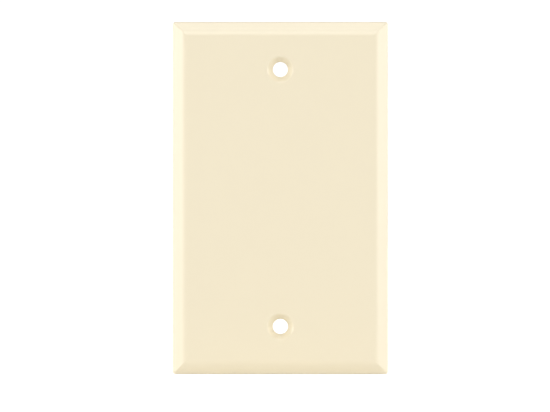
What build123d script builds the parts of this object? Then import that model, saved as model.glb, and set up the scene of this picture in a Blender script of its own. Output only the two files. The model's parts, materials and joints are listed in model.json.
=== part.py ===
from build123d import *
import os

# Blank single-gang wall plate: one moulded cover with two countersunk screw holes.
#
# The plate stands upright, as it does on a wall. X runs across its width, Z up its height and Y through
# its thickness, with the show face towards -Y. Its back rim lies in the plane Y = 0, against the wall,
# and the origin is the point of that plane midway between the two screw holes. Sizes are in millimetres.

# Outline
plate_width = 69.85
plate_height = 114.3
plate_depth = 5.6
corner_radius = 0.8

# Edge: an upright side, a bevel round all four sides, and the rounds at the two ends of the bevel
bevel_width = 3.7
bevel_drop = 2.45
side_draft = 0.06
outer_edge_round = 0.7
face_edge_round = 4.0

# Hollow back
face_thickness = 2.3
rim_thickness = 2.1
pocket_corner_radius = 1.2
pocket_edge_round = 0.6

# Screw holes, for oval-head screws put in from the front
hole_spacing = 83.34
hole_diameter = 4.9
countersink_diameter = 8.28
countersink_angle = 82
lip_round = 1.05
boss_diameter = 10.6

# Stiffening ribs on the back of the face
rib_thickness = 1.1
rib_height = 1.5
long_rib_offset = 15.5
cross_rib_count = 5

# Round marks that the mould's ejector pins leave on the back of the face
pin_mark_diameter = 4.0
pin_mark_depth = 0.15

os.makedirs("parts", exist_ok=True)

side_height = plate_depth - bevel_drop
pocket_depth = plate_depth - face_thickness
pocket_width = plate_width - 2 * rim_thickness
pocket_height = plate_height - 2 * rim_thickness
cross_rib_pitch = hole_spacing / (cross_rib_count - 1)
side_cell_offset = (long_rib_offset + plate_width / 2 - bevel_width) / 2

# Planes for the sections across the width and across the height, which run right through the plate
across_width = Plane.XY.offset(-plate_height / 2)
across_height = Plane(origin=(plate_width / 2, 0, 0), x_dir=(0, 0, 1), z_dir=(-1, 0, 0))


def outer_section(span):
    """Corners of the section through the solid plate across one span: sides, bevels and face."""
    half = span / 2
    right = [(half, 0), (half - side_draft, -side_height), (half - bevel_width, -plate_depth)]
    left = [(-x, y) for x, y in reversed(right)]
    return right + left


def pocket_section(span):
    """Corners of the hollow's section across one span, with a bevel that keeps the wall's thickness."""
    half = span / 2 - rim_thickness
    slope = bevel_drop / (bevel_width - side_draft)
    wall_along_y = face_thickness * (1 + slope**2) ** 0.5
    bevel_start = wall_along_y - side_height - slope * (rim_thickness - side_draft)
    floor_half = half - (bevel_start + pocket_depth) / slope
    right = [(half, 0), (half, bevel_start), (floor_half, -pocket_depth)]
    left = [(-x, y) for x, y in reversed(right)]
    return right + left


# The hollow behind the face, cut from the plate below
with BuildPart() as pocket:
    with BuildSketch(across_width):
        with BuildLine():
            Polyline(*pocket_section(plate_width), close=True)
        make_face()
    extrude(amount=plate_height)
    with BuildSketch(across_height):
        with BuildLine():
            Polyline(*pocket_section(plate_height), close=True)
        make_face()
    extrude(amount=plate_width, mode=Mode.INTERSECT)
    fillet(pocket.edges().filter_by(Axis.Y), pocket_corner_radius)
    fillet(pocket.faces().sort_by(Axis.Y)[0].edges(), pocket_edge_round)

with BuildPart() as wall_plate:
    # The solid blank: its bevels meet in a crisp mitre at each corner
    with BuildSketch(across_width):
        with BuildLine():
            Polyline(*outer_section(plate_width), close=True)
        make_face()
    extrude(amount=plate_height)
    with BuildSketch(across_height):
        with BuildLine():
            Polyline(*outer_section(plate_height), close=True)
        make_face()
    extrude(amount=plate_width, mode=Mode.INTERSECT)
    fillet(wall_plate.faces().sort_by(Axis.Y)[0].edges(), face_edge_round)
    bevel_foot = wall_plate.edges().filter_by_position(Axis.Y, -side_height, -side_height)
    fillet(bevel_foot, outer_edge_round)
    with BuildSketch(Plane.XZ):
        RectangleRounded(plate_width, plate_height, corner_radius)
    extrude(amount=2 * plate_depth, both=True, mode=Mode.INTERSECT)

    # The hollow back
    add(pocket.part, mode=Mode.SUBTRACT)

    # Round marks of the ejector pins, at the middles of cells between the ribs
    with BuildSketch(Plane.XZ.offset(pocket_depth)):
        with GridLocations(0, cross_rib_pitch, 1, cross_rib_count - 1):
            Circle(pin_mark_diameter / 2)
        with GridLocations(2 * side_cell_offset, (cross_rib_count - 2) * cross_rib_pitch, 2, 2):
            Circle(pin_mark_diameter / 2)
    extrude(amount=pin_mark_depth, mode=Mode.SUBTRACT)

    # Ribs: two up the plate and several across it, each ending inside the rim's wall
    with BuildSketch(Plane.XZ.offset(pocket_depth)):
        with GridLocations(2 * long_rib_offset, 0, 2, 1):
            Rectangle(rib_thickness, pocket_height + rim_thickness)
        with GridLocations(0, cross_rib_pitch, 1, cross_rib_count):
            Rectangle(pocket_width + rim_thickness, rib_thickness)
    extrude(amount=-rib_height)

    # A boss round each screw hole, level with the rim
    with BuildSketch(Plane.XZ):
        with GridLocations(0, hole_spacing, 1, 2):
            Circle(boss_diameter / 2)
    extrude(amount=pocket_depth)

    # Countersunk screw holes with a softly rounded lip
    with Locations(Plane.XZ.offset(plate_depth)):
        with GridLocations(0, hole_spacing, 1, 2):
            CounterSinkHole(
                radius=hole_diameter / 2,
                counter_sink_radius=countersink_diameter / 2,
                depth=plate_depth,
                counter_sink_angle=countersink_angle,
            )
    fillet(wall_plate.edges().filter_by(GeomType.CIRCLE).group_by(Axis.Y)[0], lip_round)

wall_plate.part.label = "wall_plate"
export_step(wall_plate.part, "parts/wall_plate.step")

box = wall_plate.part.bounding_box()
size = f"{box.size.X:.3f} x {box.size.Y:.3f} x {box.size.Z:.3f} mm"
print(f"wall_plate {size}, {wall_plate.part.volume:.1f} mm3")
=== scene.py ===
import json
import logging
import math
from dataclasses import dataclass
from enum import Enum
from typing import Iterable, Sequence

import bmesh
import bpy
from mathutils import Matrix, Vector


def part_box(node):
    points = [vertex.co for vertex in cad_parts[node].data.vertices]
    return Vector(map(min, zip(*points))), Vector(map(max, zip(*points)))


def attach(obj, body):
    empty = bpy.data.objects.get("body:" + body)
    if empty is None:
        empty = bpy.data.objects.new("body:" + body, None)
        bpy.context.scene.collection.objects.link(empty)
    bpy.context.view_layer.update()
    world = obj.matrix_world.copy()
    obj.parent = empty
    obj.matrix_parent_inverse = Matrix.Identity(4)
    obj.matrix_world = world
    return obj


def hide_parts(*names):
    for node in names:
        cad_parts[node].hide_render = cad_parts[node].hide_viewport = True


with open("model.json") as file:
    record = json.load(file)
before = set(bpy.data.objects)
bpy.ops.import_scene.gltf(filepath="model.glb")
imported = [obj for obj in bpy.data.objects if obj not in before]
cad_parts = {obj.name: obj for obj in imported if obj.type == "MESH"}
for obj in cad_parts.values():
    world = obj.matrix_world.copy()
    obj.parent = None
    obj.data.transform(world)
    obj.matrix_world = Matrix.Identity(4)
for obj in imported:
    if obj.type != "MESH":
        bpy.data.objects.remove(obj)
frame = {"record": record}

# A blank single-gang wall plate, and a plain studio to see it in. All lengths are in metres. The plate stands
# upright: X runs across it, Z up it, and its show face looks along -Y. Its back rim lies in the plane Y = 0.

MM = 0.001
CAD_NODE = "wall_plate"
BODY = "root"
WEAR_ATTRIBUTE = "edge_wear"

log = logging.getLogger("wall_plate")
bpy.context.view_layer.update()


class Surface(Enum):
    """The two finishes that the mould leaves, in the order of every mesh's material slots."""

    SHOW = 0
    BACK = 1


class Cut(Enum):
    """Ways in which one closed solid acts on another."""

    ADD = "UNION"
    TAKE = "DIFFERENCE"


# ---------------------------------------------------------------- outlines and solids


def rounded_path(corners: Sequence[tuple[float, float]], rounds: Sequence[float], steps: int) -> list[Vector]:
    """Draws a line through corners, with each inner corner rounded.

    Args:
        corners: Points of the line, as (across, along y), in metres.
        rounds: One radius for each corner between the first and the last; 0 leaves it sharp.
        steps: Straight pieces in each round.

    Returns:
        The points of the rounded line.
    """
    points = [Vector(corner) for corner in corners]
    path = [points[0]]
    for before, corner, after, radius in zip(points, points[1:], points[2:], rounds):
        if radius <= 0:
            path.append(corner)
            continue
        back, ahead = (before - corner).normalized(), (after - corner).normalized()
        half_opening = back.angle(ahead) / 2
        reach = radius / math.tan(half_opening)
        centre = corner + (back + ahead).normalized() * radius / math.sin(half_opening)
        first, last = corner + back * reach - centre, corner + ahead * reach - centre
        path += [centre + first.slerp(last, step / steps) * radius for step in range(steps + 1)]
    return path + [points[-1]]


def rounded_rectangle(half_width: float, half_height: float, radius: float, y: float, steps: int) -> list[Vector]:
    """Points of an upright rectangle with rounded corners.

    Args:
        half_width: Half of its extent along X.
        half_height: Half of its extent along Z.
        radius: Corner radius.
        y: Depth at which it lies.
        steps: Straight pieces in each corner.

    Returns:
        The points, anticlockwise as seen from -Y.
    """
    points = []
    for turn, (side, level) in enumerate(((1, 1), (-1, 1), (-1, -1), (1, -1))):
        centre = Vector((side * (half_width - radius), y, level * (half_height - radius)))
        for step in range(steps + 1):
            angle = math.radians(90 * (turn + step / steps))
            points.append(centre + Vector((math.cos(angle), 0, math.sin(angle))) * radius)
    return points


def circle(radius: float, centre: Vector, steps: int) -> list[Vector]:
    """Points of an upright circle round centre, anticlockwise as seen from -Y."""
    turns = [2 * math.pi * step / steps for step in range(steps)]
    return [centre + Vector((math.cos(turn), 0, math.sin(turn))) * radius for turn in turns]


def closed_solid(name: str, rings: Sequence[Sequence[Vector]], surfaces: Sequence[Surface],
                 materials: Sequence[bpy.types.Material], wear: Sequence[float] | None = None) -> bpy.types.Object:
    """Skins a row of rings, and closes its two ends with flat caps.

    Args:
        name: Name of the new object.
        rings: Rings of points, all of one length.
        surfaces: Finish of the first cap, of each band between two rings, and of the last cap.
        materials: The materials, one for each Surface.
        wear: Edge wear of each ring, from 0 to 1; none where it is left out.

    Returns:
        The new object, with its faces outwards.
    """
    shape = bmesh.new()
    wear_layer = shape.verts.layers.float.new(WEAR_ATTRIBUTE)
    rows = []
    for ring, worn in zip(rings, wear or [0.0] * len(rings)):
        row = [shape.verts.new(point) for point in ring]
        for vertex in row:
            vertex[wear_layer] = worn
        rows.append(row)
    shape.faces.new(rows[0]).material_index = surfaces[0].value
    shape.faces.new(rows[-1]).material_index = surfaces[-1].value
    for lower, upper, surface in zip(rows, rows[1:], surfaces[1:-1]):
        for i in range(len(lower)):
            j = (i + 1) % len(lower)
            shape.faces.new((lower[i], lower[j], upper[j], upper[i])).material_index = surface.value
    bmesh.ops.recalc_face_normals(shape, faces=shape.faces)
    mesh = bpy.data.meshes.new(name)
    shape.to_mesh(mesh)
    shape.free()
    for material in materials:
        mesh.materials.append(material)
    solid = bpy.data.objects.new(name, mesh)
    bpy.context.scene.collection.objects.link(solid)
    return solid


def evaluated_mesh(solid: bpy.types.Object) -> bpy.types.Mesh:
    """A plain mesh of solid as its modifiers leave it."""
    graph = bpy.context.evaluated_depsgraph_get()
    return bpy.data.meshes.new_from_object(solid.evaluated_get(graph), depsgraph=graph)


def settle_modifiers(solid: bpy.types.Object) -> None:
    """Keeps what solid's modifiers make, and removes them.

    Args:
        solid: The object whose mesh is replaced by the modifiers' result.
    """
    mesh = evaluated_mesh(solid)
    solid.modifiers.clear()
    solid.data = mesh


def work_on(solid: bpy.types.Object, tool: bpy.types.Object, cut: Cut) -> None:
    """Adds tool to solid or takes it out of solid, and removes tool.

    Args:
        solid: The solid that is changed.
        tool: The other closed solid; it is gone afterwards.
        cut: Whether tool is added or taken out.
    """
    modifier = solid.modifiers.new(tool.name, "BOOLEAN")
    modifier.operation = cut.value
    modifier.solver = "EXACT"
    modifier.material_mode = "TRANSFER"
    modifier.object = tool
    settle_modifiers(solid)
    bpy.data.objects.remove(tool)


class GeometryTree:
    """Builds the nodes of one Geometry Nodes modifier, and runs it into a plain mesh."""

    def __init__(self, name: str) -> None:
        """Starts an empty tree.

        Args:
            name: Name of the tree and of the object that it makes.
        """
        self.name = name
        self.tree = bpy.data.node_groups.new(name, "GeometryNodeTree")
        self.tree.interface.new_socket(name="Geometry", in_out="OUTPUT", socket_type="NodeSocketGeometry")
        self.sizes = self.tree.nodes.new("NodeGroupInput")
        self.values: dict[str, object] = {}

    def size(self, name: str, kind: str, value: object) -> bpy.types.NodeSocket:
        """Adds one named input.

        Args:
            name: Name of the input.
            kind: What it holds, such as Float, Int, Object or Material.
            value: The value that the modifier gives it.

        Returns:
            The socket that carries it.
        """
        socket = self.tree.interface.new_socket(name=name, in_out="INPUT", socket_type=f"NodeSocket{kind}")
        self.values[socket.identifier] = value
        return self.sizes.outputs[name]

    def node(self, kind: str, settings: dict[str, object] | None = None,
             inputs: dict[str | int, object] | None = None) -> bpy.types.Node:
        """Adds one node.

        Args:
            kind: The node's type.
            settings: Its properties.
            inputs: Its input values, or the output sockets that feed them, by socket name or number.

        Returns:
            The new node.
        """
        made = self.tree.nodes.new(kind)
        for key, value in (settings or {}).items():
            setattr(made, key, value)
        for key, value in (inputs or {}).items():
            if isinstance(value, bpy.types.NodeSocket):
                self.tree.links.new(value, made.inputs[key])
            else:
                made.inputs[key].default_value = value
        return made

    def maths(self, operation: str, first: object, second: object) -> bpy.types.NodeSocket:
        """The result of one Math node."""
        return self.node("ShaderNodeMath", {"operation": operation}, {0: first, 1: second}).outputs[0]

    def vector(self, x: object = 0.0, y: object = 0.0, z: object = 0.0) -> bpy.types.NodeSocket:
        """A vector from three values."""
        return self.node("ShaderNodeCombineXYZ", inputs={"X": x, "Y": y, "Z": z}).outputs[0]

    def joined(self, *parts: bpy.types.NodeSocket) -> bpy.types.NodeSocket:
        """Joins parts into one geometry.

        Args:
            *parts: The geometry sockets to join.

        Returns:
            The socket that carries them all.
        """
        join = self.node("GeometryNodeJoinGeometry")
        for part in parts:
            self.tree.links.new(part, join.inputs["Geometry"])
        return join.outputs["Geometry"]

    def run(self, geometry: bpy.types.NodeSocket, material: bpy.types.NodeSocket) -> bpy.types.Object:
        """Ends the tree in Realize Instances and Set Material, and turns its result into a plain mesh.

        Args:
            geometry: What the tree makes.
            material: The material that it all gets.

        Returns:
            A new object that holds the mesh, with no modifier left.
        """
        plain = self.node("GeometryNodeRealizeInstances", inputs={"Geometry": geometry}).outputs[0]
        dressed = self.node("GeometryNodeSetMaterial", inputs={"Geometry": plain, "Material": material}).outputs[0]
        self.tree.links.new(dressed, self.tree.nodes.new("NodeGroupOutput").inputs[0])
        made = bpy.data.objects.new(self.name, bpy.data.meshes.new(self.name))
        modifier = made.modifiers.new(self.name, "NODES")
        modifier.node_group = self.tree
        for identifier, value in self.values.items():
            modifier[identifier] = value
        bpy.context.scene.collection.objects.link(made)
        settle_modifiers(made)
        return made


# ---------------------------------------------------------------- finishes


@dataclass(frozen=True)
class Pattern:
    """A soft random field over a surface, and the part of its range that is used."""

    scale: float
    detail: float
    floor: float
    ceiling: float


class ShaderTree:
    """Builds the nodes of one material round its Principled BSDF."""

    def __init__(self, name: str) -> None:
        """Starts an empty material that patterns on Object coordinates.

        Args:
            name: Name of the material.
        """
        self.material = bpy.data.materials.new(name)
        self.material.use_nodes = True
        self.tree = self.material.node_tree
        self.surface = self.tree.nodes["Principled BSDF"]
        self.place = self.tree.nodes.new("ShaderNodeTexCoord").outputs["Object"]

    def node(self, kind: str, settings: dict[str, object] | None = None,
             inputs: dict[str | int, object] | None = None) -> bpy.types.Node:
        """Adds one node.

        Args:
            kind: The node's type.
            settings: Its properties.
            inputs: Its input values, or the output sockets that feed them, by socket name or number.

        Returns:
            The new node.
        """
        made = self.tree.nodes.new(kind)
        for key, value in (settings or {}).items():
            setattr(made, key, value)
        for key, value in (inputs or {}).items():
            self.feed(made.inputs[key], value)
        return made

    def feed(self, socket: bpy.types.NodeSocket, value: object) -> None:
        """Links value to socket if it is an output, and stores it there if it is a plain value.

        Args:
            socket: The input to fill.
            value: An output socket, or a plain value.
        """
        if isinstance(value, bpy.types.NodeSocket):
            self.tree.links.new(value, socket)
        else:
            socket.default_value = value

    def noise(self, scale: float, detail: float) -> bpy.types.NodeSocket:
        """A soft random field, from 0 to 1, with about scale features a metre."""
        inputs = {"Vector": self.place, "Scale": scale, "Detail": detail}
        return self.node("ShaderNodeTexNoise", inputs=inputs).outputs["Fac"]

    def spread(self, value: bpy.types.NodeSocket, low: tuple[float, float],
               high: tuple[float, float]) -> bpy.types.NodeSocket:
        """Maps value from the range low[0] to high[0] onto low[1] to high[1], and holds it inside."""
        inputs = {"Value": value, 1: low[0], 2: high[0], 3: low[1], 4: high[1]}
        return self.node("ShaderNodeMapRange", inputs=inputs).outputs["Result"]

    def patterned(self, pattern: Pattern, low: float = 0.0, high: float = 1.0) -> bpy.types.NodeSocket:
        """The pattern's own random field, spread from low to high."""
        noise = self.noise(pattern.scale, pattern.detail)
        return self.spread(noise, (pattern.floor, low), (pattern.ceiling, high))

    def maths(self, operation: str, first: object, second: object) -> bpy.types.NodeSocket:
        """The result of one Math node."""
        return self.node("ShaderNodeMath", {"operation": operation}, {0: first, 1: second}).outputs[0]

    def mix(self, amount: object, first: object, second: object) -> bpy.types.NodeSocket:
        """Mixes two colours.

        Args:
            amount: Share of the second colour, from 0 to 1.
            first: The colour at 0.
            second: The colour at 1.

        Returns:
            The mixed colour.
        """
        made = self.node("ShaderNodeMix", {"data_type": "RGBA"})
        self.feed(made.inputs["Factor"], amount)
        colours = [socket for socket in made.inputs if socket.type == "RGBA"]
        self.feed(colours[0], first)
        self.feed(colours[1], second)
        return next(socket for socket in made.outputs if socket.type == "RGBA")


@dataclass(frozen=True)
class MouldedIvory:
    """Light-ivory plastic as a steel mould leaves it: even colour, faint flow marks, a fine skin.

    Lengths are in metres, colours are linear, and scales are in features a metre.
    """

    name: str
    pale: tuple[float, float, float, float]
    deep: tuple[float, float, float, float]
    roughness: tuple[float, float]
    skin_depth: float
    skin_strength: float
    skin_scale: float
    grain_share: float
    grain_scale: float = 2600.0
    skin_detail: float = 2.0
    flow: Pattern = Pattern(scale=9.0, detail=1.0, floor=0.3, ceiling=0.7)
    mottle: Pattern = Pattern(scale=42.0, detail=4.0, floor=0.25, ceiling=0.75)
    sheen: Pattern = Pattern(scale=85.0, detail=3.0, floor=0.3, ceiling=0.7)
    rubbing: Pattern = Pattern(scale=310.0, detail=3.0, floor=0.42, ceiling=0.66)
    flow_share: float = 0.6
    mottle_share: float = 0.4
    speck: tuple[float, float, float, float] = (0.34, 0.24, 0.13, 1.0)
    speck_scale: float = 78.0
    speck_radius: float = 0.018
    speck_core: float = 0.0072
    speck_rarity: float = 0.62
    speck_cover: float = 0.45
    rubbed: tuple[float, float, float, float] = (0.86, 0.80, 0.66, 1.0)
    rubbed_cover: float = 0.35
    rubbed_roughness: float = 0.14
    refraction: float = 1.55

    def colour(self, shader: ShaderTree, worn: bpy.types.NodeSocket) -> bpy.types.NodeSocket:
        """Ivory with slow flow marks, a fine mottle, rare dark specks and paler rubbed edges.

        Args:
            shader: The material's nodes.
            worn: How rubbed each point is, from 0 to 1.

        Returns:
            The base colour.
        """
        flow = shader.maths("MULTIPLY", shader.patterned(self.flow), self.flow_share)
        mottle = shader.maths("MULTIPLY", shader.patterned(self.mottle), self.mottle_share)
        tone = shader.mix(shader.maths("ADD", flow, mottle), self.pale, self.deep)
        cells = shader.node("ShaderNodeTexVoronoi", inputs={"Vector": shader.place, "Scale": self.speck_scale})
        near = shader.spread(cells.outputs["Distance"], (self.speck_core, self.speck_cover), (self.speck_radius, 0.0))
        chance = shader.node("ShaderNodeSeparateColor", inputs={"Color": cells.outputs["Color"]}).outputs["Red"]
        kept = shader.maths("GREATER_THAN", chance, self.speck_rarity)
        specked = shader.mix(shader.maths("MULTIPLY", near, kept), tone, self.speck)
        return shader.mix(shader.maths("MULTIPLY", worn, self.rubbed_cover), specked, self.rubbed)

    def roughness_map(self, shader: ShaderTree, worn: bpy.types.NodeSocket) -> bpy.types.NodeSocket:
        """Roughness that drifts slowly over the surface and rises where it is rubbed."""
        drift = shader.patterned(self.sheen, *self.roughness)
        return shader.maths("ADD", drift, shader.maths("MULTIPLY", worn, self.rubbed_roughness))

    def relief(self, shader: ShaderTree) -> bpy.types.NodeSocket:
        """The moulded skin's fine relief: soft waves with a finer grain on them.

        Args:
            shader: The material's nodes.

        Returns:
            The surface normal.
        """
        grain = shader.maths("MULTIPLY", shader.noise(self.grain_scale, self.skin_detail), self.grain_share)
        height = shader.maths("ADD", shader.noise(self.skin_scale, self.skin_detail), grain)
        inputs = {"Strength": self.skin_strength, "Distance": self.skin_depth, "Height": height}
        return shader.node("ShaderNodeBump", inputs=inputs).outputs["Normal"]

    def material(self) -> bpy.types.Material:
        """Builds the finish.

        Returns:
            The finished material.
        """
        shader = ShaderTree(self.name)
        wear = shader.node("ShaderNodeAttribute", {"attribute_name": WEAR_ATTRIBUTE}).outputs["Fac"]
        worn = shader.maths("MULTIPLY", wear, shader.patterned(self.rubbing))
        shader.feed(shader.surface.inputs["Base Color"], self.colour(shader, worn))
        shader.feed(shader.surface.inputs["Roughness"], self.roughness_map(shader, worn))
        shader.feed(shader.surface.inputs["Normal"], self.relief(shader))
        shader.surface.inputs["IOR"].default_value = self.refraction
        return shader.material


SHOW_FINISH = MouldedIvory(name="ivory_polished", pale=(0.831, 0.746, 0.558, 1.0), deep=(0.828, 0.743, 0.554, 1.0),
                           roughness=(0.29, 0.31), skin_depth=0.00002, skin_strength=0.10, skin_scale=420.0,
                           grain_share=0.12)
BACK_FINISH = MouldedIvory(name="ivory_satin", pale=(0.825, 0.742, 0.552, 1.0), deep=(0.802, 0.716, 0.524, 1.0),
                           roughness=(0.42, 0.55), skin_depth=0.00006, skin_strength=0.30, skin_scale=900.0,
                           grain_share=0.6)


# ---------------------------------------------------------------- the plate


@dataclass(frozen=True)
class Outline:
    """The plate's overall sizes and screw holes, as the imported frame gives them."""

    half_width: float
    half_height: float
    depth: float
    hole_radius: float
    hole_levels: tuple[float, float]

    @classmethod
    def from_frame(cls) -> "Outline":
        """Reads the sizes from the CAD node's box and the record's screw holes.

        Returns:
            The outline.
        """
        low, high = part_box(CAD_NODE)
        mounts = {mount["name"]: mount for mount in frame["record"]["mounts"]}
        dims = mounts["screw_holes"]["dims"]
        reach = dims["spacing_y_mm"] * MM / 2
        return cls(half_width=(high.x - low.x) / 2, half_height=(high.z - low.z) / 2, depth=high.y - low.y,
                   hole_radius=dims["hole_r_mm"] * MM, hole_levels=(reach, -reach))


@dataclass(frozen=True)
class PlateShell:
    """The moulding without its inner details: bevelled face, rim and hollow back."""

    outline: Outline
    materials: tuple[bpy.types.Material, bpy.types.Material]
    corner_radius: float = 0.8 * MM
    mitre_round: float = 0.22 * MM
    bevel_width: float = 3.7 * MM
    bevel_drop: float = 2.45 * MM
    side_draft: float = 0.06 * MM
    outer_edge_round: float = 0.7 * MM
    face_edge_round: float = 4.0 * MM
    rim_break: float = 0.12 * MM
    face_thickness: float = 2.3 * MM
    rim_thickness: float = 2.1 * MM
    pocket_corner_radius: float = 1.2 * MM
    pocket_edge_round: float = 0.6 * MM
    wear_reach: float = 0.6 * MM
    round_steps: int = 9
    corner_steps: int = 8

    @property
    def floor_y(self) -> float:
        """Depth of the back of the face, where the ribs stand."""
        return self.face_thickness - self.outline.depth

    def outer_path(self) -> list[Vector]:
        """Draws the outside, from the middle of the rim, up the side and the bevel, to the face.

        Returns:
            Points of inset and depth.
        """
        side_y = self.bevel_drop - self.outline.depth
        face_y = -self.outline.depth
        end = self.bevel_width + self.face_edge_round
        corners = [(self.rim_thickness / 2, 0), (0, 0), (self.side_draft, side_y), (self.bevel_width, face_y),
                   (end, face_y)]
        rounds = [self.rim_break, self.outer_edge_round, self.face_edge_round]
        return rounded_path(corners, rounds, self.round_steps)

    def pocket_path(self) -> list[Vector]:
        """Draws the hollow, from the middle of the rim, down its wall and its bevel, to its floor.

        Returns:
            Points of inset and depth.
        """
        slope = self.bevel_drop / (self.bevel_width - self.side_draft)
        wall_along_y = self.face_thickness * math.hypot(1, slope)
        side_height = self.outline.depth - self.bevel_drop
        bevel_y = wall_along_y - side_height - slope * (self.rim_thickness - self.side_draft)
        floor_inset = self.rim_thickness + (bevel_y - self.floor_y) / slope
        corners = [(self.rim_thickness / 2, 0), (self.rim_thickness, 0), (self.rim_thickness, bevel_y),
                   (floor_inset, self.floor_y), (floor_inset + self.pocket_edge_round, self.floor_y)]
        rounds = [self.rim_break, self.pocket_edge_round, self.pocket_edge_round]
        return rounded_path(corners, rounds, self.round_steps)

    def ring(self, inset: float, y: float, corner_radius: float) -> list[Vector]:
        """One ring of the shell.

        Args:
            inset: How far it lies inside the outline.
            y: Its depth.
            corner_radius: Corner radius of the outline that it is inset from.

        Returns:
            Its points.
        """
        radius = max(corner_radius - inset, self.mitre_round)
        return rounded_rectangle(self.outline.half_width - inset, self.outline.half_height - inset, radius, y,
                                 self.corner_steps)

    def build(self) -> bpy.types.Object:
        """Skins the shell from the face, over the rim, to the floor of the hollow.

        Returns:
            One closed solid.
        """
        outer = self.outer_path()
        pocket = self.pocket_path()[1:]
        pocket_corner = self.pocket_corner_radius + self.rim_thickness
        rings = [self.ring(p.x, p.y, self.corner_radius) for p in reversed(outer)]
        rings += [self.ring(p.x, p.y, pocket_corner) for p in pocket]
        surfaces = [Surface.SHOW] * len(outer) + [Surface.BACK] * (len(pocket) + 1)
        bevel_foot = Vector((0, self.bevel_drop - self.outline.depth))
        wear = [max(0.0, 1 - (p - bevel_foot).length / self.wear_reach) for p in reversed(outer)]
        return closed_solid("plate_moulding", rings, surfaces, self.materials, wear + [0.0] * len(pocket))


@dataclass(frozen=True)
class ScrewHole:
    """One countersunk hole for an oval-head screw, and the boss behind it."""

    outline: Outline
    materials: tuple[bpy.types.Material, bpy.types.Material]
    level: float
    countersink_radius: float = 4.14 * MM
    countersink_half_angle: float = math.radians(41)
    lip_round: float = 1.05 * MM
    boss_radius: float = 5.3 * MM
    boss_root: float = 0.45 * MM
    boss_sink: float = 0.15 * MM
    back_break: float = 0.12 * MM
    clear_of_face: float = 0.004 * MM
    past_back: float = 1.0 * MM
    turn_steps: int = 96
    round_steps: int = 10

    def spun(self, name: str, path: Iterable[Vector], surface: Surface) -> bpy.types.Object:
        """Turns a path of radius and depth round the hole's axis into a closed solid."""
        rings = [circle(p.x, Vector((0, p.y, self.level)), self.turn_steps) for p in path]
        return closed_solid(name, rings, [surface] * (len(rings) + 1), self.materials)

    def cutter(self) -> bpy.types.Object:
        """The space that the hole takes out: lip, countersink, clearance hole and the break at the back.

        Returns:
            The solid to take out.
        """
        face_y = -self.outline.depth
        radius = self.outline.hole_radius
        sink_y = face_y + (self.countersink_radius - radius) / math.tan(self.countersink_half_angle)
        lip_end = self.countersink_radius + self.lip_round
        lip_y = face_y - self.clear_of_face
        corners = [(lip_end, lip_y), (self.countersink_radius, lip_y), (radius, sink_y),
                   (radius, 0), (radius + self.past_back, self.past_back)]
        path = rounded_path(corners, [self.lip_round, 0, self.back_break], self.round_steps)
        return self.spun("screw_hole", [Vector((lip_end, face_y - self.past_back)), *path], Surface.SHOW)

    def boss(self, floor_y: float) -> bpy.types.Object:
        """The round pad behind the hole, level with the rim, with a soft root where it leaves the face.

        Args:
            floor_y: Depth of the back of the face.

        Returns:
            The solid to add.
        """
        sunk = floor_y - self.boss_sink
        corners = [(self.boss_radius + 2 * self.boss_root, sunk), (self.boss_radius, floor_y), (self.boss_radius, 0),
                   (self.outline.hole_radius, 0)]
        path = rounded_path(corners, [self.boss_root, self.back_break], self.round_steps)
        return self.spun("screw_boss", path, Surface.BACK)


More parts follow.
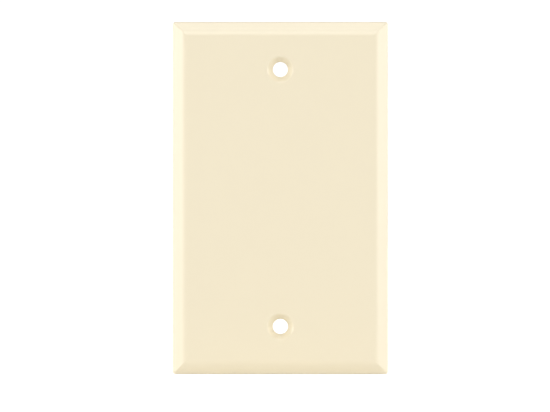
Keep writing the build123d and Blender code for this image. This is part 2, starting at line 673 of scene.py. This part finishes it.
@dataclass(frozen=True)
class RibLattice:
    """The stiffening ribs on the back of the face: two run up the plate and the rest across it."""

    shell: PlateShell
    thickness: float = 1.1 * MM
    height: float = 1.5 * MM
    draft: float = 0.05 * MM
    root_round: float = 0.4 * MM
    root_sink: float = 0.1 * MM
    crown_round: float = 0.2 * MM
    long_offset: float = 15.5 * MM
    cross_count: int = 5
    round_steps: int = 5

    @property
    def pitch(self) -> float:
        """Distance between two cross ribs: the first and the last lie at the screw holes."""
        upper, lower = self.shell.outline.hole_levels
        return (upper - lower) / (self.cross_count - 1)

    def section(self) -> bpy.types.Object:
        """Draws the rib's closed section: a drafted blade with a soft root and a rounded crown.

        Returns:
            A flat curve, with the root towards -Y.
        """
        half, foot = self.thickness / 2, self.thickness / 2 + 2 * self.root_round
        right = [(foot, -self.root_sink), (half, 0), (half - self.draft, self.height), (0, self.height)]
        path = rounded_path(right, [self.root_round, self.crown_round], self.round_steps)
        outline = path + [Vector((-p.x, p.y)) for p in reversed(path[:-1])]
        curve = bpy.data.curves.new("rib_section", "CURVE")
        curve.dimensions = "2D"
        spline = curve.splines.new("POLY")
        spline.points.add(len(outline) - 1)
        for point, place in zip(spline.points, outline):
            point.co = (place.x, place.y, 0, 1)
        spline.use_cyclic_u = True
        section = bpy.data.objects.new("rib_section", curve)
        bpy.context.scene.collection.objects.link(section)
        return section

    def build(self, material: bpy.types.Material) -> bpy.types.Object:
        """The lattice as one closed solid.

        Args:
            material: Finish of the ribs.

        Returns:
            The new object.
        """
        shell, section = self.shell, self.section()
        tree = GeometryTree("rib_lattice")
        profile = tree.size("Section", "Object", section)
        finish = tree.size("Finish", "Material", material)
        up_length = tree.size("Upright Length", "Float", 2 * shell.outline.half_height - shell.rim_thickness)
        across_length = tree.size("Cross Length", "Float", 2 * shell.outline.half_width - shell.rim_thickness)
        floor = tree.size("Floor Depth", "Float", shell.floor_y)
        offset = tree.size("Upright Offset", "Float", self.long_offset)
        pitch = tree.size("Cross Pitch", "Float", self.pitch)
        count = tree.size("Cross Count", "Int", self.cross_count)
        outline = tree.node("GeometryNodeObjectInfo", inputs={"Object": profile}).outputs["Geometry"]
        upright = self.bar(tree, outline, up_length)
        cross = tree.node("GeometryNodeTransform", inputs={
            "Geometry": self.bar(tree, outline, across_length), "Rotation": (0, math.pi / 2, 0)}).outputs[0]
        sides = tree.node("GeometryNodeMeshLine", {"mode": "OFFSET"}, {
            "Count": 2, "Start Location": tree.vector(tree.maths("MULTIPLY", offset, -1.0), floor),
            "Offset": tree.vector(tree.maths("MULTIPLY", offset, 2.0))}).outputs[0]
        lowest = tree.maths("MULTIPLY", pitch, tree.maths("MULTIPLY", tree.maths("SUBTRACT", count, 1.0), -0.5))
        levels = tree.node("GeometryNodeMeshLine", {"mode": "OFFSET"}, {
            "Count": count, "Start Location": tree.vector(0.0, floor, lowest),
            "Offset": tree.vector(z=pitch)}).outputs[0]
        ribs = [tree.node("GeometryNodeInstanceOnPoints", inputs={"Points": points, "Instance": bar}).outputs[0]
                for points, bar in ((sides, upright), (levels, cross))]
        solid = tree.node("GeometryNodeRealizeInstances", inputs={"Geometry": tree.joined(*ribs)}).outputs[0]
        union = tree.node("GeometryNodeMeshBoolean", {"operation": "UNION", "solver": "EXACT"}, {
            "Mesh 2": solid, "Self Intersection": True}).outputs[0]
        lattice = tree.run(union, finish)
        bpy.data.objects.remove(section)
        return lattice

    @staticmethod
    def bar(tree: GeometryTree, outline: bpy.types.NodeSocket, length: bpy.types.NodeSocket) -> bpy.types.NodeSocket:
        """One upright rib, centred on its own middle, with its root towards -Y.

        Args:
            tree: The tree that it is built in.
            outline: The rib's section.
            length: Its length.

        Returns:
            The socket that carries the rib.
        """
        half = tree.maths("MULTIPLY", length, 0.5)
        line = tree.node("GeometryNodeCurvePrimitiveLine", inputs={
            "Start": tree.vector(z=tree.maths("MULTIPLY", half, -1.0)), "End": tree.vector(z=half)}).outputs[0]
        return tree.node("GeometryNodeCurveToMesh", inputs={
            "Curve": line, "Profile Curve": outline, "Fill Caps": True}).outputs[0]


@dataclass(frozen=True)
class EjectorMarks:
    """Shallow round marks that the mould's ejector pins leave between the ribs, each a little deeper or less."""

    lattice: RibLattice
    radius: float = 2.0 * MM
    depth: float = 0.15 * MM
    least_share: float = 0.55
    seed: int = 11
    sides: int = 56

    def build(self, material: bpy.types.Material) -> bpy.types.Object:
        """The marks as solids to take out of the back of the face.

        Args:
            material: Finish of the marks.

        Returns:
            The new object.
        """
        ribs, shell = self.lattice, self.lattice.shell
        column = (ribs.long_offset + shell.outline.half_width - shell.bevel_width) / 2
        rows = ribs.cross_count - 1
        tree = GeometryTree("ejector_marks")
        radius = tree.size("Mark Radius", "Float", self.radius)
        depth = tree.size("Mark Depth", "Float", self.depth)
        floor = tree.size("Floor Depth", "Float", shell.floor_y)
        pitch = tree.size("Row Pitch", "Float", ribs.pitch)
        span = tree.size("Column Span", "Float", 2 * column)
        finish = tree.size("Finish", "Material", material)
        seed = tree.size("Seed", "Int", self.seed)
        reach = tree.maths("MULTIPLY", pitch, (rows - 1) / 2)
        middle = tree.node("GeometryNodeMeshLine", {"mode": "OFFSET"}, {
            "Count": rows, "Start Location": tree.vector(z=tree.maths("MULTIPLY", reach, -1.0)),
            "Offset": tree.vector(z=pitch)}).outputs[0]
        grid = tree.node("GeometryNodeMeshGrid", inputs={
            "Size X": span, "Size Y": tree.maths("MULTIPLY", reach, 2.0), "Vertices X": 2, "Vertices Y": 2}).outputs[0]
        outer = tree.node("GeometryNodeTransform", inputs={
            "Geometry": grid, "Rotation": (math.pi / 2, 0, 0)}).outputs[0]
        places = tree.node("GeometryNodeTransform", inputs={
            "Geometry": tree.joined(middle, outer), "Translation": tree.vector(y=floor)}).outputs[0]
        disc = tree.node("GeometryNodeMeshCylinder", inputs={
            "Vertices": self.sides, "Radius": radius, "Depth": tree.maths("MULTIPLY", depth, 2.0)}).outputs[0]
        upright = tree.node("GeometryNodeTransform", inputs={
            "Geometry": disc, "Rotation": (math.pi / 2, 0, 0)}).outputs[0]
        share = tree.node("FunctionNodeRandomValue", {"data_type": "FLOAT"}, {"Seed": seed})
        # The node has a pair of limits for each kind of number; these are the pair and the output for a Float.
        limits = {"Min_001": self.least_share, "Max_001": 1.0}
        for socket in share.inputs:
            socket.default_value = limits.get(socket.identifier, socket.default_value)
        marks = tree.node("GeometryNodeInstanceOnPoints", inputs={
            "Points": places, "Instance": upright, "Scale": tree.vector(1.0, share.outputs[1], 1.0)}).outputs[0]
        return tree.run(marks, finish)


@dataclass(frozen=True)
class Moulding:
    """The whole wall plate: the shell with its ribs, bosses, ejector marks and screw holes as one solid."""

    outline: Outline
    sharp_angle: float = math.radians(32)
    merge_distance: float = 0.0005 * MM

    def build(self) -> bpy.types.Object:
        """Builds the plate and gives it its finishes.

        Returns:
            The finished object.
        """
        materials = (SHOW_FINISH.material(), BACK_FINISH.material())
        back = materials[Surface.BACK.value]
        shell = PlateShell(self.outline, materials)
        lattice = RibLattice(shell)
        plate = shell.build()
        work_on(plate, EjectorMarks(lattice).build(back), Cut.TAKE)
        work_on(plate, lattice.build(back), Cut.ADD)
        for level in self.outline.hole_levels:
            hole = ScrewHole(self.outline, materials, level)
            work_on(plate, hole.boss(shell.floor_y), Cut.ADD)
            work_on(plate, hole.cutter(), Cut.TAKE)
        self.smooth(plate)
        return plate

    def smooth(self, plate: bpy.types.Object) -> None:
        """Merges doubled points, turns the faces outwards, and shades the rounds smooth and the flats flat.

        Args:
            plate: The plate, with all its details.
        """
        shape = bmesh.new()
        shape.from_mesh(plate.data)
        bmesh.ops.remove_doubles(shape, verts=shape.verts, dist=self.merge_distance)
        bmesh.ops.dissolve_degenerate(shape, edges=shape.edges, dist=self.merge_distance)
        bmesh.ops.recalc_face_normals(shape, faces=shape.faces)
        open_edges = sum(not edge.is_manifold for edge in shape.edges)
        shape.to_mesh(plate.data)
        shape.free()
        plate.data.shade_smooth()
        plate.data.set_sharp_from_angle(angle=self.sharp_angle)
        weighted = plate.modifiers.new("weighted_normals", "WEIGHTED_NORMAL")
        weighted.keep_sharp = True
        settle_modifiers(plate)
        log.info("%s: %d faces, %d open edges", plate.name, len(plate.data.polygons), open_edges)


# ---------------------------------------------------------------- studio


@dataclass(frozen=True)
class Softlight:
    """A large, far softbox: a soft disc of even light, the same at every point of the plate.

    Azimuth 0 stands in front of the plate and 90 on its +X side. All angles are in degrees.
    """

    name: str
    azimuth: float
    elevation: float
    spread: float
    strength: float

    def build(self) -> bpy.types.Object:
        """Hangs the light and turns it towards the plate.

        Returns:
            The new light.
        """
        azimuth, elevation = math.radians(self.azimuth), math.radians(self.elevation)
        away = Vector((math.sin(azimuth) * math.cos(elevation), -math.cos(azimuth) * math.cos(elevation),
                       math.sin(elevation)))
        data = bpy.data.lights.new(self.name, "SUN")
        data.angle = math.radians(self.spread)
        data.energy = self.strength
        light = bpy.data.objects.new(self.name, data)
        light.rotation_mode = "QUATERNION"
        light.rotation_quaternion = away.to_track_quat("Z", "Y")
        bpy.context.scene.collection.objects.link(light)
        return light


@dataclass(frozen=True)
class Studio:
    """White surroundings, a pale floor, soft lights and the camera."""

    outline: Outline
    surround_radiance: float = 0.24
    backdrop_radiance: float = 1.1
    floor_size: float = 12.0
    floor_gap: float = 0.1 * MM
    bounce_gap: float = 0.3 * MM
    floor_glow: float = 0.48
    bounce_glow: float = 0.055
    floor_pale: tuple[float, float, float, float] = (0.95, 0.95, 0.95, 1.0)
    floor_dull: tuple[float, float, float, float] = (0.93, 0.93, 0.93, 1.0)
    floor_mottle: Pattern = Pattern(scale=6.0, detail=3.0, floor=0.3, ceiling=0.7)
    lens_mm: float = 400.0
    view_width: float = 178.15 * MM
    aim_beside: float = -1.74 * MM
    aim_below: float = -2.60 * MM
    lights: tuple[Softlight, ...] = (
        Softlight("left_softbox", azimuth=-78, elevation=8, spread=44, strength=1.84),
        Softlight("right_softbox", azimuth=78, elevation=8, spread=44, strength=1.61),
        Softlight("left_strip", azimuth=-50, elevation=6, spread=16, strength=0.38),
        Softlight("right_strip", azimuth=50, elevation=6, spread=16, strength=0.41),
        Softlight("front_top_softbox", azimuth=0, elevation=30, spread=24, strength=0.365),
        Softlight("front_top_strip", azimuth=0, elevation=46, spread=14, strength=0.29),
        Softlight("overhead_softbox", azimuth=0, elevation=72, spread=24, strength=0.47),
        Softlight("rear_left_softbox", azimuth=-145, elevation=12, spread=44, strength=1.1),
        Softlight("rear_right_softbox", azimuth=150, elevation=16, spread=44, strength=1.1),
    )

    def build_world(self) -> None:
        """Even white light from all round, with a whiter backdrop where the camera looks past the plate."""
        world = bpy.data.worlds.new("white_studio")
        world.use_nodes = True
        nodes, links = world.node_tree.nodes, world.node_tree.links
        background = nodes["Background"]
        background.inputs["Color"].default_value = (1.0, 1.0, 1.0, 1.0)
        path = nodes.new("ShaderNodeLightPath")
        level = nodes.new("ShaderNodeMapRange")
        level.inputs["To Min"].default_value = self.surround_radiance
        level.inputs["To Max"].default_value = self.backdrop_radiance
        links.new(path.outputs["Is Camera Ray"], level.inputs["Value"])
        links.new(level.outputs["Result"], background.inputs["Strength"])
        bpy.context.scene.world = world

    def floor(self, name: str, gap: float, glow: float) -> bpy.types.Object:
        """A matt white floor under the plate's lower edge.

        Args:
            name: Name of the floor and of its material.
            gap: How far it lies below the plate.
            glow: Light that it gives off by itself.

        Returns:
            The new object.
        """
        half, level = self.floor_size / 2, -self.outline.half_height - gap
        mesh = bpy.data.meshes.new(name)
        corners = [(-half, -half, level), (half, -half, level), (half, half, level), (-half, half, level)]
        mesh.from_pydata(corners, [], [(0, 1, 2, 3)])
        floor = bpy.data.objects.new(name, mesh)
        bpy.context.scene.collection.objects.link(floor)
        shader = ShaderTree(name)
        tone = shader.mix(shader.patterned(self.floor_mottle), self.floor_dull, self.floor_pale)
        shader.feed(shader.surface.inputs["Base Color"], tone)
        shader.surface.inputs["Emission Color"].default_value = (1.0, 1.0, 1.0, 1.0)
        shader.surface.inputs["Emission Strength"].default_value = glow
        shader.surface.inputs["Roughness"].default_value = 1.0
        shader.surface.inputs["Specular IOR Level"].default_value = 0.0
        mesh.materials.append(shader.material)
        return floor

    def build_floor(self) -> None:
        """The floor that the camera sees, over the duller one that throws light back on to the plate."""
        seen = self.floor("studio_floor", self.floor_gap, self.floor_glow)
        seen.visible_diffuse = seen.visible_glossy = seen.visible_transmission = seen.visible_shadow = False
        bounce = self.floor("bounce_floor", self.bounce_gap, self.bounce_glow)
        bounce.visible_camera = False

    def build_camera(self) -> None:
        """A long lens square on to the face, with the plate right of and above the view's middle."""
        data = bpy.data.cameras.new("camera")
        data.lens = self.lens_mm
        reach = self.view_width * self.lens_mm / data.sensor_width
        camera = bpy.data.objects.new("camera", data)
        camera.location = (self.aim_beside, -self.outline.depth - reach, self.aim_below)
        camera.rotation_euler = (math.pi / 2, 0, 0)
        bpy.context.scene.collection.objects.link(camera)
        bpy.context.scene.camera = camera

    def build(self) -> None:
        """Sets up everything that isn't the plate."""
        self.build_world()
        self.build_floor()
        for light in self.lights:
            light.build()
            log.info("%s: strength %.2f", light.name, light.strength)
        self.build_camera()
        bpy.context.scene.view_settings.view_transform = "Standard"


def main() -> None:
    """Builds the wall plate and the studio round it."""
    logging.basicConfig(level=logging.INFO, format="%(name)s %(message)s")
    outline = Outline.from_frame()
    plate = Moulding(outline).build()
    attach(plate, BODY)
    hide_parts(CAD_NODE)
    log.info("%s rides on %s and stands for %s", plate.name, BODY, CAD_NODE)
    Studio(outline).build()


if __name__ == "__main__":
    main()
